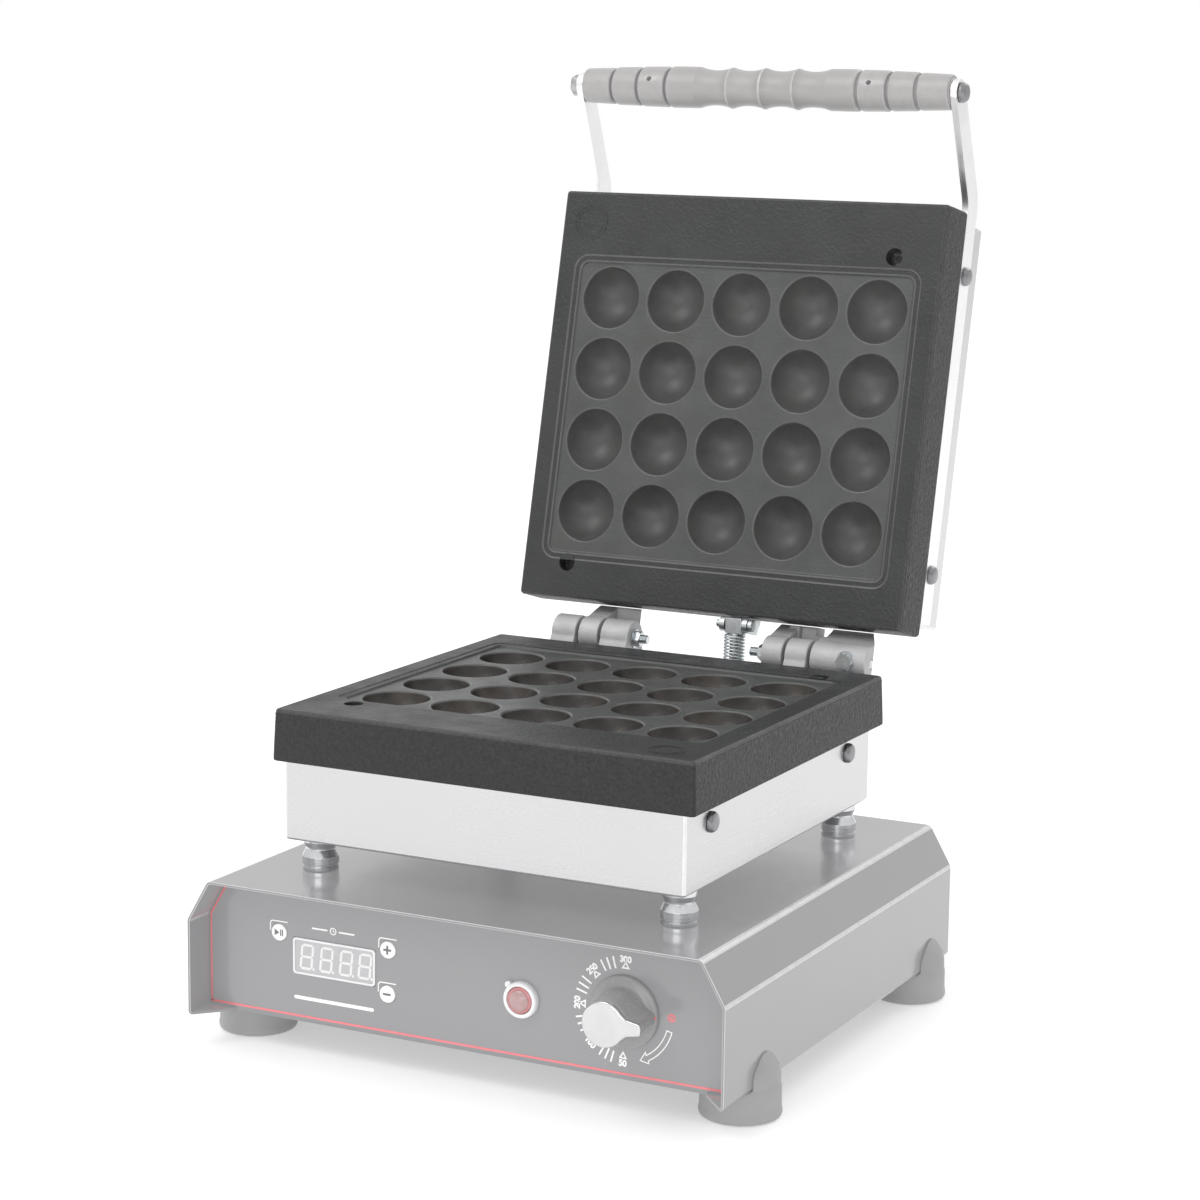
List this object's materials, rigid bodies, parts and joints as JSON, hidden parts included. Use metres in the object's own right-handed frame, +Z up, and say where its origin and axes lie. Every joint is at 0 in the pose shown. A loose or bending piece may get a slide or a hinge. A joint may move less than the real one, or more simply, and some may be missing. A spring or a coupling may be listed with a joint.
{
  "type": "donut maker",
  "caption": "Countertop donut-ball maker, lid open: box base with dial and timer, cast plates with round cavities, hinged lid with a bar handle and balance spring",
  "frame": {"origin": "centre of the outline box on the table plane, lid fully open", "axes": "+X right seen from the front, +Y to the back, +Z up; the control panel faces -Y"},
  "size_m": [0.3472, 0.4554, 0.5418],
  "materials": {
    "body_enamel": "smooth semi-matt mid-grey stove enamel on sheet steel",
    "overlay_film": "printed matt control film, white scale marks, thin red border",
    "foot_rubber": "moulded matt grey rubber",
    "stainless": "fine brushed stainless sheet",
    "stainless_turned": "turned and polished stainless",
    "cast_plate": "black non-stick coating over a grainy casting, smoother on the cooking face",
    "element_sheath": "heat-tinted tube",
    "hinge_casting": "light grey sand casting",
    "zinc_fastener": "bright zinc plating",
    "spring_wire": "zinc-plated spring wire",
    "grip_plastic": "warm grey turned grip, satin lacquer",
    "knob_plastic": "moulded grey plastic",
    "chrome_cap": "bright chrome",
    "lamp_red": "clear red faceted lens",
    "display_lens": "smoked window over pale seven-segment digits, unlit",
    "device_plastic": "dark moulded plastic",
    "button_white": "white printed key"
  },
  "bodies": {
    "base": {"base_housing": "body_enamel", "front_panel": "body_enamel", "control_overlay": "overlay_film", "rear_panel": "body_enamel", "base_plate": "body_enamel", "foot_front_left": "foot_rubber", "foot_front_right": "foot_rubber", "foot_rear_left": "foot_rubber", "foot_rear_right": "foot_rubber", "post_front_left": "stainless_turned", "post_front_right": "stainless_turned", "post_rear_left": "stainless_turned", "post_rear_right": "stainless_turned", "lower_housing": "stainless", "lower_heating_element": "element_sheath", "lower_plate": "cast_plate", "lower_plate_screw_1": "stainless_turned", "lower_plate_screw_2": "stainless_turned", "lower_bolt_front_left": "stainless_turned", "lower_bolt_front_right": "stainless_turned", "lower_bolt_rear_left": "stainless_turned", "lower_bolt_rear_right": "stainless_turned", "hinge_base_left": "hinge_casting", "hinge_base_right": "hinge_casting", "hinge_pin_left": "zinc_fastener", "spring_seat": "zinc_fastener", "thermostat_body": "device_plastic", "lamp_bezel": "chrome_cap", "lamp_lens": "lamp_red", "display_window": "display_lens", "display_module": "device_plastic"},
    "lid": {"upper_plate": "cast_plate", "upper_plate_screw_1": "stainless_turned", "upper_plate_screw_2": "stainless_turned", "lid_housing": "stainless", "upper_heating_element": "element_sheath", "handle_arm_left": "stainless", "handle_arm_right": "stainless", "arm_bolt_front_left": "stainless_turned", "arm_bolt_front_right": "stainless_turned", "arm_bolt_rear_left": "stainless_turned", "arm_bolt_rear_right": "stainless_turned", "handle_rod": "stainless_turned", "handle_nut": "stainless_turned", "handle_grip": "grip_plastic", "hinge_lid_left": "hinge_casting", "hinge_lid_right": "hinge_casting", "hinge_pin_right": "zinc_fastener", "hinge_clamp_screw": "zinc_fastener", "spring_lug": "zinc_fastener", "spring_cross_pin": "zinc_fastener"},
    "balance_rod": {"spring_rod": "zinc_fastener", "spring_rod_nut": "zinc_fastener", "counter_spring": "spring_wire"},
    "knob": {"thermostat_shaft": "stainless_turned", "thermostat_knob": "knob_plastic", "knob_cap": "chrome_cap"},
    "start_key": {"button_start": "button_white"},
    "plus_key": {"button_plus": "button_white"},
    "minus_key": {"button_minus": "button_white"}
  },
  "joints": [
    {"name": "lid_hinge", "type": "hinge", "parent": "base", "child": "lid", "pos_m": [0, 0.0918, 0.1926], "axis": [1, 0, 0], "range_deg": [0, 103.3], "deforming": ["counter_spring"]},
    {"name": "rod_pivot", "type": "hinge", "parent": "lid", "child": "balance_rod", "pos_m": [0.022, 0.0944, 0.20737], "axis": [1, 0, 0], "range_deg": [-82.5, 0]},
    {"name": "thermostat_turn", "type": "hinge", "parent": "base", "child": "knob", "pos_m": [0.0985, -0.2027, 0.0565], "axis": [0, 1, 0], "range_deg": [0, 270]},
    {"name": "start_press", "type": "slide", "parent": "base", "child": "start_key", "axis": [0, 1, 0], "range_m": [0, 0.0006], "stiffness_N_per_m": 2000},
    {"name": "plus_press", "type": "slide", "parent": "base", "child": "plus_key", "axis": [0, 1, 0], "range_m": [0, 0.0006], "stiffness_N_per_m": 2000},
    {"name": "minus_press", "type": "slide", "parent": "base", "child": "minus_key", "axis": [0, 1, 0], "range_m": [0, 0.0006], "stiffness_N_per_m": 2000}
  ],
  "couplings": [
    {"joint": "rod_pivot", "follows": "lid_hinge", "ratio": -0.79586}
  ]
}
